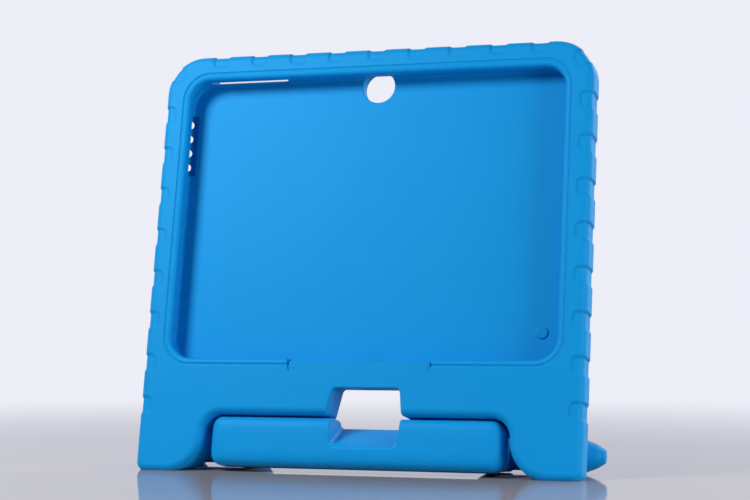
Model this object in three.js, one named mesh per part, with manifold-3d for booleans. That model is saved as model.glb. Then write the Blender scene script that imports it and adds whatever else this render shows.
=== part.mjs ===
// Children's foam case for a 10 inch tablet, with a swing handle that nests between its two feet.
// Both pieces are one-shot foam mouldings. Units are millimetres, +Z is up, and the case stands
// leaning back on its soles and rear lugs. Shapes are drawn in the plane of the case: x across,
// y up the face and z towards the reader, so a depth below the front face is a negative z.
import * as THREE from "three";
import { mergeVertices } from "three/addons/utils/BufferGeometryUtils.js";
import Module from "manifold-3d";

const wasm = await Module();
wasm.setup();

// The tablet that the pocket holds, screen forwards
const tabletLength = 243.4;
const tabletHeight = 176.4;
const tabletThickness = 8;
const tabletFit = 0.3;
const tabletPlay = 1;

// Foam walls round the tablet
const sideWall = 12.9;
const topWall = 14.4;
const backWall = 8.5;
const chinHeight = 66.5;
const cornerRadius = 23.5;
const frontRound = 4.5;
const backRound = 8;

// Lip that holds the tablet in, with the bead along its edge and the groove behind the bead
const lipThickness = 5.5;
const lipOverSides = 3.8;
const lipOverEnds = 1.9;
const lipRadius = 12.5;
const beadRound = 2.6;
const beadWidth = 3.9;
const grooveWidth = 1.5;
const grooveDepth = 0.7;

// Relief in the lower lip for the thumb on the home key
const reliefCentre = 1.7;
const reliefHalfWidth = 43.6;
const reliefHeight = 6;
const reliefDepth = 0.9;
const slitWidth = 3;
const slitHeight = 3.8;

// Openings for the camera, speaker, keys and charging plug
const cameraRadius = 10;
const cameraX = -0.3;
const cameraBelowTop = 19.7;
const cameraFlare = 1.4;
const speakerRadius = 2.5;
const speakerPitch = 9;
const speakerCount = 4;
const speakerBelowPocketTop = 26.2;
const speakerBehindWall = 1.4;
const speakerSplay = 20;
const channelWidth = 4.3;
const channelDepth = 1.8;
const channelMargin = 5.5;
const keySlotFromSide = 20;
const keySlotLength = 41;
const keySlotHeight = 7;
const keySlotRearRise = 3.7;
const plugSlotLength = 14;
const plugSlotHeight = 7;

// Round pad on the pocket floor
const padRadius = 3.9;
const padHeight = 0.9;
const padFromSide = 15.3;
const padAbovePocket = 19.5;

// Grip tread moulded into the outer edge
const sideTreadPitch = 25.9;
const topTreadPitch = 25.2;
const treadGap = 9.7;
const treadReach = 7.7;
const treadDepth = 0.8;
const treadFaceDepth = 0.4;
const treadRound = 3;
const treadBelowCorner = 9;
const treadAboveSole = 25;
const topTreadShift = 1.5;
const cornerTreadAngle = 36;

// Stance, feet and rear lugs
const leanAngle = 10.8;
const soleTrim = 0.2;
const footWidth = 42;
const footGap = 4;
const footInnerRound = 23;
const recessRound = 11;
const recessBackShare = 0.06;
const footOuterRound = 6;
const nestGap = 1;
const lugFromSide = 10.9;
const lugWidth = 12;
const lugWall = 7;
const lugRound = 2.5;
const gussetBelowPocket = 3;

// Swing handle: grip bar, cheeks, hubs and push-in pegs
const barHeight = 27;
const barDepth = 21.5;
const barAboveSole = 6.8;
const barSetBack = 1;
const barEndRound = 7;
const barSquarenessAbove = 4.6;
const barSquarenessBelow = 3.4;
const cheekWidth = 18;
const cheekRound = 3;
const hubRadius = 9;
const hubAboveTable = 1.4;
const hubBehindBack = 25.1;
const pegRadius = 5.8;
const pegHeadRadius = 9.1;
const pegShoulder = 4.6;
const pegTaper = 10.6;
const pegNoseRadius = 6.6;
const pegNoseLength = 4.3;
const pegTipRadius = 3.2;
const runningGap = 0.3;

// Finger window between the body and the bar
const windowCentre = 7.2;
const windowWidth = 43;
const windowHeight = 15.7;
const windowSlope = 0.1;
const windowDraft = 1.2;
const windowCorner = 3.5;
const windowFlare = 5;
const notchDepth = 17.3;
const notchSlope = 0.62;
const notchDraft = 2;
const notchCorner = 4;

// How finely curves are cut into facets
const facetError = 0.06;
const smallestRound = 0.4;
const lipCornerSteps = 8;
const channelSteps = 8;
const beadSteps = 4;
const barSides = 32;
const roundSteps = 4;
const holeSides = 32;
const overshoot = 3;

// Sizes worked out from the ones above
const lean = THREE.MathUtils.degToRad(leanAngle);
const pocketHalfWidth = tabletLength / 2 + tabletFit;
const pocketBottomY = chinHeight;
const pocketTopY = pocketBottomY + tabletHeight + 2 * tabletFit;
const pocketMiddleY = (pocketBottomY + pocketTopY) / 2;
const floorDepth = lipThickness + tabletThickness + tabletPlay;
const slotMiddleDepth = (lipThickness + floorDepth) / 2;
const halfWidth = pocketHalfWidth + sideWall;
const caseTopY = pocketTopY + topWall;
const caseDepth = floorDepth + backWall;
const lipHalfWidth = pocketHalfWidth - lipOverSides;
const lipHalfHeight = (pocketTopY - pocketBottomY) / 2 - lipOverEnds;
const lipBottomY = pocketMiddleY - lipHalfHeight;
const barTopY = barAboveSole + barHeight;
const barMiddleY = barAboveSole + barHeight / 2;
const barMiddleDepth = barSetBack + barDepth / 2;
const recessTopY = barTopY + nestGap;
const recessHalfWidth = halfWidth - footWidth;
const barHalfLength = recessHalfWidth - footGap;
const windowTopY = recessTopY + windowHeight;
const windowLeft = windowCentre - windowWidth / 2;
const windowRight = windowCentre + windowWidth / 2;
const hubDepth = caseDepth + hubBehindBack;
const hubY = (hubRadius + hubAboveTable + hubDepth * Math.sin(lean)) / Math.cos(lean);
const lugRadius = pegRadius + lugWall;
const lugOuterX = halfWidth - lugFromSide;
const lugInnerX = lugOuterX - lugWidth;

// Turns a closed three.js geometry into a solid that can be cut and joined.
function solidOf(geometry) {
  const bare = geometry.index ? geometry.toNonIndexed() : geometry.clone();
  bare.deleteAttribute("normal");
  bare.deleteAttribute("uv");
  const merged = mergeVertices(bare, 1e-4);
  return new wasm.Manifold(new wasm.Mesh({
    numProp: 3,
    vertProperties: new Float32Array(merged.attributes.position.array),
    triVerts: new Uint32Array(merged.index.array),
  }));
}

// Turns a solid back into a geometry for a mesh.
function geometryOf(solid) {
  const mesh = solid.getMesh();
  const geometry = new THREE.BufferGeometry();
  geometry.setAttribute("position", new THREE.BufferAttribute(new Float32Array(mesh.vertProperties), 3));
  geometry.setIndex(new THREE.BufferAttribute(new Uint32Array(mesh.triVerts), 1));
  geometry.computeVertexNormals();
  return geometry;
}

// Joins a list of solids into one.
function joined(solids) {
  return solids.reduce((sum, solid) => sum.add(solid));
}

// Points of an outline from its corners [x, y, radius], listed anticlockwise, with an arc at each
// corner that has a radius. An inset outline lies that far inside the full one.
function outlinePoints(corners, inset = 0) {
  return corners.flatMap(([x, y, radius = 0], i) => {
    const corner = new THREE.Vector2(x, y);
    const before = new THREE.Vector2(...corners.at(i - 1).slice(0, 2)).sub(corner).normalize();
    const after = new THREE.Vector2(...corners[(i + 1) % corners.length].slice(0, 2)).sub(corner).normalize();
    const halfAngle = Math.acos(THREE.MathUtils.clamp(before.dot(after), -1, 1)) / 2;
    const middle = before.clone().add(after).normalize();
    const bulge = Math.sign(after.cross(before));
    corner.addScaledVector(middle, (bulge * inset) / Math.sin(halfAngle));
    if (radius === 0) {
      return [corner];
    }
    const bend = Math.max(radius - bulge * inset, smallestRound);
    const centre = corner.clone().addScaledVector(middle, bend / Math.sin(halfAngle));
    const start = corner.clone().addScaledVector(before, bend / Math.tan(halfAngle)).sub(centre);
    const end = corner.clone().addScaledVector(after, bend / Math.tan(halfAngle)).sub(centre);
    const sweep = Math.atan2(start.cross(end), start.dot(end));
    const steps = Math.max(2, Math.ceil(Math.abs(sweep) / (2 * Math.acos(1 - facetError / radius))));
    const points = [];
    for (let k = 0; k <= steps; k++) {
      points.push(start.clone().rotateAround(new THREE.Vector2(), (sweep * k) / steps).add(centre));
    }
    return points;
  });
}

// A shape with rounded corners, from its corners [x, y, radius].
function filleted(corners) {
  return new THREE.Shape(outlinePoints(corners));
}

// Triangles that close a flat ring of points.
function capTriangles(ring) {
  const normal = new THREE.Vector3();
  ring.forEach((p, i) => normal.add(p.clone().cross(ring[(i + 1) % ring.length])));
  const level = new THREE.Quaternion().setFromUnitVectors(normal.normalize(), new THREE.Vector3(0, 0, 1));
  const flat = ring.map((p) => p.clone().applyQuaternion(level));
  return THREE.ShapeUtils.triangulateShape(flat.map((p) => new THREE.Vector2(p.x, p.y)), []);
}

// A closed solid through rings of equal point count. A hoop joins its last ring to its first.
function loft(rings, hoop = false) {
  const count = rings[0].length;
  const points = rings.flat();
  const triangles = [];
  const spans = hoop ? rings.length : rings.length - 1;
  for (let r = 0; r < spans; r++) {
    const next = (r + 1) % rings.length;
    for (let i = 0; i < count; i++) {
      const j = (i + 1) % count;
      const [a, b, c, d] = [r * count + i, r * count + j, next * count + j, next * count + i];
      triangles.push(a, b, c, a, c, d);
    }
  }
  if (!hoop) {
    const last = (rings.length - 1) * count;
    capTriangles(rings[0]).forEach(([a, b, c]) => triangles.push(c, b, a));
    capTriangles(rings.at(-1)).forEach(([a, b, c]) => triangles.push(last + a, last + b, last + c));
  }
  const geometry = new THREE.BufferGeometry();
  geometry.setAttribute("position", new THREE.Float32BufferAttribute(points.flatMap((p) => p.toArray()), 3));
  geometry.setIndex(triangles);
  return solidOf(geometry);
}

// A ring shaped as the lip's opening, grown outwards and laid at a depth below the front face.
function openingRing(growX, growY, depth) {
  const radius = lipRadius + Math.max(growX, growY);
  const centreX = lipHalfWidth + growX - radius;
  const centreY = lipHalfHeight + growY - radius;
  const ring = [];
  for (const [signX, signY, start] of [[1, 1, 0], [-1, 1, 1], [-1, -1, 2], [1, -1, 3]]) {
    for (let k = 0; k <= lipCornerSteps; k++) {
      const angle = (start + k / lipCornerSteps) * (Math.PI / 2);
      const x = signX * centreX + radius * Math.cos(angle);
      const y = pocketMiddleY + signY * centreY + radius * Math.sin(angle);
      ring.push(new THREE.Vector3(x, y, -depth));
    }
  }
  return ring;
}

// A slice of the shape, drawn in the plane of the case, between two depths.
function slice(shape, fromDepth, toDepth) {
  const geometry = new THREE.ExtrudeGeometry(shape, { depth: toDepth - fromDepth, bevelEnabled: false });
  return solidOf(geometry.translate(0, 0, -toDepth));
}

// A profile of depth and height, made solid across the case between two places on x.
function acrossCase(profile, fromX, toX, round) {
  const geometry = new THREE.ExtrudeGeometry(profile, {
    depth: toX - fromX - 2 * round,
    bevelEnabled: round > 0,
    bevelThickness: round,
    bevelSize: round,
    bevelOffset: -round,
    bevelSegments: roundSteps,
  });
  return solidOf(geometry.rotateY(Math.PI / 2).translate(fromX + round, 0, 0));
}

// A round bar between two points.
function rod(start, end, radius) {
  const along = end.clone().sub(start);
  const geometry = new THREE.CylinderGeometry(radius, radius, along.length(), holeSides);
  const turn = new THREE.Quaternion().setFromUnitVectors(new THREE.Vector3(0, 1, 0), along.normalize());
  return solidOf(geometry.applyQuaternion(turn).translate(...start.clone().add(end).divideScalar(2).toArray()));
}

// A slot with round ends, centred on x and depth, cut up the case from one height to another.
function uprightSlot(centreX, centreDepth, length, height, fromY, toY) {
  const half = height / 2;
  const slot = filleted([
    [-length / 2, -half, half - 0.01],
    [length / 2, -half, half - 0.01],
    [length / 2, half, half - 0.01],
    [-length / 2, half, half - 0.01],
  ]);
  const geometry = new THREE.ExtrudeGeometry(slot, { depth: toY - fromY, bevelEnabled: false });
  return solidOf(geometry.rotateX(-Math.PI / 2).translate(centreX, fromY, -centreDepth));
}

// The case as a plate with its front and back edges rounded: round top corners, two feet and the
// recess that the handle nests in, whose back edge is rounded less. A sunk plate lies below the full
// one, by one distance at its edge and by another at its faces.
function casePlate(edgeSunk = 0, faceSunk = 0) {
  const soleY = -soleTrim;
  const rings = [];
  for (const [edge, round, away] of [[0, frontRound, 1], [caseDepth, backRound, -1]]) {
    const half = [];
    for (let k = 0; k <= roundSteps; k++) {
      const angle = ((k / roundSteps) * Math.PI) / 2;
      const depth = edge + away * (round - (round - faceSunk) * Math.cos(angle));
      const inset = round - (round - edgeSunk) * Math.sin(angle);
      const held = away > 0 ? 0 : inset * (1 - recessBackShare);
      const corners = [
        [-halfWidth, soleY, footOuterRound],
        [-recessHalfWidth + held, soleY, footInnerRound],
        [-recessHalfWidth + held, recessTopY - held, recessRound],
        [recessHalfWidth - held, recessTopY - held, recessRound],
        [recessHalfWidth - held, soleY, footInnerRound],
        [halfWidth, soleY, footOuterRound],
        [halfWidth, caseTopY, cornerRadius],
        [-halfWidth, caseTopY, cornerRadius],
      ];
      const points = outlinePoints(corners, inset);
      half.push(points.map((p) => new THREE.Vector3(p.x, p.y, -depth)));
    }
    rings.push(...(away > 0 ? half : half.reverse()));
  }
  return loft(rings.reverse());
}

// Blocks that mark the tread's recesses down both sides, along the top and at the top corners.
function treadBlocks() {
  const outline = filleted([
    [-treadReach, -treadGap, treadRound],
    [overshoot, -treadGap],
    [overshoot, 0],
    [-treadReach, 0, treadRound],
  ]);
  const block = slice(outline, -overshoot, caseDepth + overshoot);
  const blocks = [];
  const firstY = caseTopY - cornerRadius - treadBelowCorner;
  for (let y = firstY; y > treadAboveSole + treadGap; y -= sideTreadPitch) {
    blocks.push(block.translate([halfWidth, y, 0]));
    blocks.push(block.rotate([0, 0, 180]).translate([-halfWidth, y - treadGap, 0]));
  }
  const topRun = 2 * (halfWidth - cornerRadius) - treadGap;
  const gaps = Math.floor(topRun / topTreadPitch);
  for (let i = 0; i <= gaps; i++) {
    const x = topTreadShift - treadGap / 2 + (i - gaps / 2) * topTreadPitch;
    blocks.push(block.rotate([0, 0, 90]).translate([x, caseTopY, 0]));
  }
  for (const [side, angle] of [[1, cornerTreadAngle], [-1, 180 - cornerTreadAngle]]) {
    const atCorner = block.translate([cornerRadius, treadGap / 2, 0]).rotate([0, 0, angle]);
    blocks.push(atCorner.translate([side * (halfWidth - cornerRadius), caseTopY - cornerRadius, 0]));
  }
  return joined(blocks);
}

// The tablet's pocket: rounded lip edge, then a channel that grips the tablet's rim, then the floor.
function pocket() {
  const rings = [openingRing(beadRound, beadRound, -overshoot)];
  for (let k = 0; k <= beadSteps; k++) {
    const angle = ((k / beadSteps) * Math.PI) / 2;
    const grow = beadRound * (1 - Math.sin(angle));
    rings.push(openingRing(grow, grow, beadRound * (1 - Math.cos(angle))));
  }
  const halfSlot = (floorDepth - lipThickness) / 2;
  for (let k = 0; k <= channelSteps; k++) {
    const angle = (k / channelSteps) * Math.PI;
    const out = Math.sqrt(Math.sin(angle) + 1e-9);
    const along = Math.sign(Math.cos(angle)) * Math.sqrt(Math.abs(Math.cos(angle)));
    rings.push(openingRing(lipOverSides * out, lipOverEnds * out, slotMiddleDepth - halfSlot * along));
  }
  return loft(rings.reverse());
}

// The narrow groove that sets the bead off from the face of the case.
function beadGroove() {
  const near = beadWidth - grooveWidth / 2;
  const far = beadWidth + grooveWidth / 2;
  const proud = grooveDepth / 2;
  return loft([
    openingRing(near, near, -proud),
    openingRing(beadWidth, beadWidth, grooveDepth),
    openingRing(far, far, -proud),
  ].reverse(), true);
}

// The lowered stretch of the lower lip, its shallow thumb relief and the slit at each end.
function thumbRelief() {
  const left = reliefCentre - reliefHalfWidth;
  const right = reliefCentre + reliefHalfWidth;
  const edgeY = pocketBottomY - tabletFit;
  const gapTopY = lipBottomY + beadRound;
  const lipGap = filleted([[left, edgeY], [right, edgeY], [right, gapTopY], [left, gapTopY]]);
  const thumb = filleted([
    [left, edgeY - reliefHeight, 2],
    [right, edgeY - reliefHeight, 2],
    [right, gapTopY],
    [left, gapTopY],
  ]);
  const cuts = [slice(lipGap, -overshoot, lipThickness + overshoot), slice(thumb, -overshoot, reliefDepth)];
  for (const x of [left, right]) {
    const slit = filleted([[x, edgeY - slitHeight], [x + slitWidth / 2, gapTopY], [x - slitWidth / 2, gapTopY]]);
    cuts.push(slice(slit, -overshoot, lipThickness));
  }
  return joined(cuts);
}

// Round camera hole through the back wall, with both rims eased.
function cameraHole() {
  const profile = [new THREE.Vector2(0, floorDepth - overshoot)];
  for (const [rimDepth, inwards] of [[floorDepth, 1], [caseDepth, -1]]) {
    const arc = [];
    for (let k = 0; k <= beadSteps; k++) {
      const angle = ((k / beadSteps) * Math.PI) / 2;
      const radius = cameraRadius + cameraFlare * (1 - Math.sin(angle));
      arc.push(new THREE.Vector2(radius, rimDepth + inwards * cameraFlare * (1 - Math.cos(angle))));
    }
    arc.unshift(new THREE.Vector2(arc[0].x, rimDepth - inwards * overshoot));
    profile.push(...(inwards > 0 ? arc : arc.reverse()));
  }
  profile.push(new THREE.Vector2(0, caseDepth + overshoot));
  const geometry = new THREE.LatheGeometry(profile, holeSides).rotateX(-Math.PI / 2);
  return solidOf(geometry.translate(cameraX, caseTopY - cameraBelowTop, 0));
}

// Row of speaker holes beside the left wall, splayed outwards to the back, and the channel that joins them.
function speakerOpenings() {
  const cuts = [];
  const speakerTopY = pocketTopY - speakerBelowPocketTop;
  const bottomY = speakerTopY - (speakerCount - 1) * speakerPitch;
  const rearDepth = caseDepth + overshoot;
  const floorX = -pocketHalfWidth - speakerBehindWall;
  const spread = Math.tan(THREE.MathUtils.degToRad(speakerSplay));
  for (let i = 0; i < speakerCount; i++) {
    const y = bottomY + i * speakerPitch;
    const inside = new THREE.Vector3(floorX + spread * (floorDepth - slotMiddleDepth), y, -slotMiddleDepth);
    const outside = new THREE.Vector3(floorX - spread * (rearDepth - floorDepth), y, -rearDepth);
    cuts.push(rod(inside, outside, speakerRadius));
  }
  const channel = filleted([
    [-pocketHalfWidth, bottomY - channelMargin],
    [-pocketHalfWidth + channelWidth, bottomY - channelMargin, 1],
    [-pocketHalfWidth + channelWidth, speakerTopY + channelMargin, 1],
    [-pocketHalfWidth, speakerTopY + channelMargin],
  ]);
  cuts.push(slice(channel, slotMiddleDepth, floorDepth + channelDepth));
  return joined(cuts);
}

// Tilts a cutter so that its height rises with depth from a starting depth.
function risingBackwards(geometry, slope, fromDepth) {
  const rise = new THREE.Matrix4().makeShear(0, 0, 0, 0, 0, -slope);
  return solidOf(geometry.translate(0, 0, fromDepth).applyMatrix4(rise).translate(0, 0, -fromDepth));
}

// Finger window above the bar, its ceiling rising backwards and its sides flared into the recess.
function fingerWindow() {
  const lowY = recessTopY - overshoot;
  const window = filleted([
    [windowLeft, lowY],
    [windowRight, lowY],
    [windowRight - windowDraft, windowTopY, windowCorner],
    [windowLeft + windowDraft, windowTopY, windowCorner],
  ]);
  const depth = caseDepth + 2 * overshoot;
  const opening = new THREE.ExtrudeGeometry(window, { depth, bevelEnabled: false });
  const flares = filleted([
    [windowLeft - 2 * windowFlare, lowY],
    [windowRight + 2 * windowFlare, lowY],
    [windowRight + 2 * windowFlare, recessTopY],
    [windowRight, recessTopY, windowFlare],
    [windowRight - windowDraft, windowTopY - windowCorner],
    [windowLeft + windowDraft, windowTopY - windowCorner],
    [windowLeft, recessTopY, windowFlare],
    [windowLeft - 2 * windowFlare, recessTopY],
  ]);
  return risingBackwards(opening.translate(0, 0, overshoot - depth), windowSlope, 0)
    .add(slice(flares, -overshoot, caseDepth + overshoot));
}

// Rear lug behind each foot, with the gusset that carries it off the back of the case.
function rearLug(side) {
  const rear = hubDepth + lugRadius;
  const top = hubY + lugRadius;
  const buried = caseDepth / 2;
  const gussetTop = pocketBottomY - gussetBelowPocket;
  const profile = filleted([
    [buried, buried * Math.tan(lean) - soleTrim],
    [rear, rear * Math.tan(lean) - soleTrim, lugWall],
    [rear, top, lugRadius],
    [hubDepth - 0.8 * lugRadius, top, lugRadius],
    [caseDepth, gussetTop, lugWall],
    [buried, gussetTop],
  ]);
  const lug = acrossCase(profile, lugInnerX, lugOuterX, lugRound);
  return side > 0 ? lug : lug.mirror([1, 0, 0]);
}

// Everything below the table that the case stands on.
function belowTable() {
  const reach = 2 * caseTopY;
  const geometry = new THREE.BoxGeometry(reach, reach, reach).translate(0, -reach / 2, 0);
  return solidOf(geometry.rotateX(lean));
}

function caseBody() {
  const padX = pocketHalfWidth - padFromSide;
  const pad = new THREE.CylinderGeometry(padRadius - padHeight / 2, padRadius, padHeight + 1, holeSides);
  pad.rotateX(Math.PI / 2).translate(padX, pocketBottomY + padAbovePocket, -floorDepth + (padHeight - 1) / 2);
  const pegHole = rod(
    new THREE.Vector3(-halfWidth - overshoot, hubY, -hubDepth),
    new THREE.Vector3(halfWidth + overshoot, hubY, -hubDepth),
    pegRadius + runningGap,
  );
  const keySlotX = -pocketHalfWidth + keySlotFromSide + keySlotLength / 2;
  const keySlot = uprightSlot(keySlotX, slotMiddleDepth, keySlotLength, keySlotHeight,
    pocketTopY - overshoot, caseTopY + overshoot);
  const keyRear = filleted([
    [slotMiddleDepth, pocketTopY],
    [floorDepth, pocketTopY],
    [caseDepth, pocketTopY + keySlotRearRise],
    [caseDepth + overshoot, pocketTopY + keySlotRearRise],
    [caseDepth + overshoot, caseTopY + overshoot],
    [slotMiddleDepth, caseTopY + overshoot],
  ]);
  const keyRoom = acrossCase(keyRear, keySlotX - keySlotLength / 2, keySlotX + keySlotLength / 2, 0);
  const plugSlot = uprightSlot(windowCentre, slotMiddleDepth, plugSlotLength, plugSlotHeight,
    windowTopY - overshoot, pocketBottomY + overshoot);
  return casePlate()
    .subtract(treadBlocks().subtract(casePlate(treadDepth, treadFaceDepth)))
    .subtract(pocket())
    .subtract(beadGroove())
    .subtract(thumbRelief())
    .subtract(speakerOpenings())
    .add(solidOf(pad))
    .subtract(cameraHole())
    .subtract(keySlot)
    .subtract(keyRoom)
    .subtract(plugSlot)
    .subtract(fingerWindow())
    .add(rearLug(1))
    .add(rearLug(-1))
    .subtract(pegHole)
    .subtract(belowTable());
}

// Grip bar: a rounded square section that draws in to softly rounded ends.
function gripBar() {
  const stations = [];
  for (let k = 0; k <= roundSteps; k++) {
    const angle = ((k / roundSteps) * Math.PI) / 2;
    stations.push([barHalfLength - barEndRound * (1 - Math.sin(angle)), barEndRound * (1 - Math.cos(angle))]);
  }
  const mirrored = stations.map(([x, shrink]) => [-x, shrink]).reverse();
  const rings = [...mirrored, ...stations].map(([x, shrink]) => {
    const ring = [];
    for (let i = 0; i < barSides; i++) {
      const angle = (i / barSides) * 2 * Math.PI;
      const squareness = Math.cos(angle) > 0 ? barSquarenessAbove : barSquarenessBelow;
      const swell = (v) => Math.sign(v) * Math.abs(v) ** (2 / squareness);
      const y = barMiddleY + (barHeight / 2 - shrink) * swell(Math.cos(angle));
      const z = -barMiddleDepth + (barDepth / 2 - shrink) * swell(Math.sin(angle));
      ring.push(new THREE.Vector3(x, y, z));
    }
    return ring;
  });
  return loft(rings);
}

// Cheek that runs from the bar back to the hub, inside each foot.
function cheek(side) {
  const rear = hubDepth + hubRadius;
  const profile = filleted([
    [barMiddleDepth, barAboveSole + runningGap],
    [rear, hubY - hubRadius, hubRadius - 0.1],
    [rear, hubY + hubRadius, hubRadius - 0.1],
    [barMiddleDepth, barTopY - runningGap],
  ]);
  const outer = barHalfLength - barEndRound / 2;
  const solid = acrossCase(profile, outer - cheekWidth, outer, cheekRound);
  return side > 0 ? solid : solid.mirror([1, 0, 0]);
}

// Hub, peg and cone-tipped head: the head pushes out through the lug's hole and can't pull back.
function hubAndPeg(side) {
  const inner = barHalfLength - cheekWidth;
  const hubEnd = lugInnerX - runningGap;
  const headStart = lugOuterX + runningGap;
  const taperStart = headStart + pegShoulder;
  const tip = taperStart + pegTaper;
  const profile = [
    [0, inner],
    [hubRadius, inner],
    [hubRadius, hubEnd - 1],
    [hubRadius - 1, hubEnd],
    [pegRadius, hubEnd],
    [pegRadius, headStart],
    [pegHeadRadius, headStart],
    [pegHeadRadius, taperStart],
    [pegNoseRadius, tip - pegNoseLength],
    [pegTipRadius, tip],
    [0, tip],
  ].map(([radius, along]) => new THREE.Vector2(radius, along));
  const geometry = new THREE.LatheGeometry(profile, holeSides).rotateZ((-side * Math.PI) / 2);
  return solidOf(geometry.translate(0, hubY, -hubDepth));
}

// Notch in the bar that completes the finger window, its floor ramped up towards the back.
function barNotch() {
  const floorY = barTopY - notchDepth;
  const outline = filleted([
    [windowLeft + notchDraft, floorY, notchCorner],
    [windowRight - notchDraft, floorY, notchCorner],
    [windowRight, barTopY, windowFlare / 2],
    [windowRight + windowFlare, barTopY],
    [windowRight + windowFlare, barTopY + barHeight],
    [windowLeft - windowFlare, barTopY + barHeight],
    [windowLeft - windowFlare, barTopY],
    [windowLeft, barTopY, windowFlare / 2],
  ]);
  const depth = barDepth + 4 * overshoot;
  const cutter = new THREE.ExtrudeGeometry(outline, { depth, bevelEnabled: false });
  return risingBackwards(cutter.translate(0, 0, 2 * overshoot - depth), notchSlope, barSetBack);
}

function swingHandle() {
  return joined([gripBar(), cheek(1), cheek(-1), hubAndPeg(1), hubAndPeg(-1)]).subtract(barNotch());
}

const foam = new THREE.MeshStandardMaterial({ color: 0x1e96e0, roughness: 0.6, metalness: 0 });
const handleFoam = foam.clone();

const body = new THREE.Mesh(geometryOf(caseBody()), foam);
body.name = "case_body";
const handle = new THREE.Mesh(geometryOf(swingHandle()), handleFoam);
handle.name = "swing_handle";

// The case leans back on its soles, and the origin is the middle of its footprint on the table.
const standing = new THREE.Group();
standing.add(body, handle);
standing.rotation.x = Math.PI / 2 - lean;
const tabletCase = new THREE.Group();
tabletCase.add(standing);
tabletCase.updateMatrixWorld(true);
const box = new THREE.Box3().setFromObject(tabletCase, true);
standing.position.set(-(box.min.x + box.max.x) / 2, -(box.min.y + box.max.y) / 2, -box.min.z);
tabletCase.updateMatrixWorld(true);

export default tabletCase;
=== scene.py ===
"""Looks of a children's foam tablet case with a swing handle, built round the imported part.

The two foam mouldings are drawn in millimetres in the plane of the case: x across, y up the face and
a depth counted backwards from the front face. They are then leaned back and set on the table.
"""

import logging
import math
from dataclasses import dataclass
from enum import Enum
from typing import Sequence

import bmesh
import bpy
from mathutils import Matrix, Vector


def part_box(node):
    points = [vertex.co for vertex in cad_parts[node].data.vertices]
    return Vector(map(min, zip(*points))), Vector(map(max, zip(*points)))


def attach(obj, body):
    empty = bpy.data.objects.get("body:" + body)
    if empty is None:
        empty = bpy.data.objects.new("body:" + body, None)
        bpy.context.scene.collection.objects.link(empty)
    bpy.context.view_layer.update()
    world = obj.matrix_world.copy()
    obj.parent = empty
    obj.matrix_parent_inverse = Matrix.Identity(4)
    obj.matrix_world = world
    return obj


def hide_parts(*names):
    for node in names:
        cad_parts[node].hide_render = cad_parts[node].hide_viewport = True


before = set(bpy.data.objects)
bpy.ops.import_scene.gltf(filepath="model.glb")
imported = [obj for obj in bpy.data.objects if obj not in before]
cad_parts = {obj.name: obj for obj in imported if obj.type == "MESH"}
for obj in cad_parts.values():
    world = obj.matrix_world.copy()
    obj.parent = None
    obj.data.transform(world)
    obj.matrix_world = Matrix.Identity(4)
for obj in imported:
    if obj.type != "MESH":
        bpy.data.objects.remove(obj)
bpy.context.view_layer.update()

LOG = logging.getLogger("tablet_case")
BMesh, BMFace = bmesh.types.BMesh, bmesh.types.BMFace

# One millimetre, in metres.
MM = 0.001
# How far a cutter reaches past what it cuts, in millimetres.
OVERSHOOT = 3.0
# Radius that a rounded corner keeps at least when its ring is drawn inwards, in millimetres.
LEAST_BEND = 0.4
# Distance below which two points are one, in millimetres.
WELD = 1e-4
# Facets across a rounded edge or corner, and round a turned shape or rod, where nothing else is said.
EDGE_STEPS = 8
ROUND_STEPS = 64
# Edges that turn by more than this are shaded as sharp ones, in degrees.
SHARP_ANGLE = 38.0
# Section of the groove round the bead, from its outer rim to its inner one: how far out from the groove's
# middle, in half widths, and how deep, as a share of its depth.
GROOVE_SECTION = ((1.2, -0.6), (1.0, 0.15), (0.8, 0.65), (0.5, 0.95), (0.1, 1.0), (-0.3, 0.9), (-0.7, 0.55),
                  (-1.1, 0.1), (-1.4, -0.3))
# Three cuts ease the rims of the grip edge's recesses: how far each reaches past a recess, in millimetres,
# and its share of the depth.
TREAD_STAGES = ((0.6, 0.33), (0.0, 0.67), (-0.6, 1.0))


class Join(Enum):
    """How a second shape meets a moulding."""

    ADD = "UNION"
    CUT = "DIFFERENCE"


class Side(Enum):
    """Side of the case, as the sign of x."""

    LEFT = -1
    RIGHT = 1


@dataclass(frozen=True)
class Corner:
    """Corner of a flat outline, in millimetres.

    Attributes:
        x: Place across the outline.
        y: Place up the outline.
        radius: Radius of its arc, or 0 for a sharp corner.
        steps: Edges that the arc is cut into.
    """

    x: float
    y: float
    radius: float = 0.0
    steps: int = EDGE_STEPS


def oblong(left: float, low: float, right: float, high: float, radius: float = 0.0,
           steps: int = EDGE_STEPS) -> list[Corner]:
    """Corners of an upright rectangle, all of one radius, anticlockwise from the lower left one."""
    return [Corner(x, y, radius, steps) for x, y in ((left, low), (right, low), (right, high), (left, high))]


def quarter(steps: int) -> list[tuple[float, float]]:
    """Pairs of sine and cosine at even steps of a quarter turn, from 0 to 90 degrees."""
    angles = [math.pi / 2 * k / steps for k in range(steps + 1)]
    return [(math.sin(angle), math.cos(angle)) for angle in angles]


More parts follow.
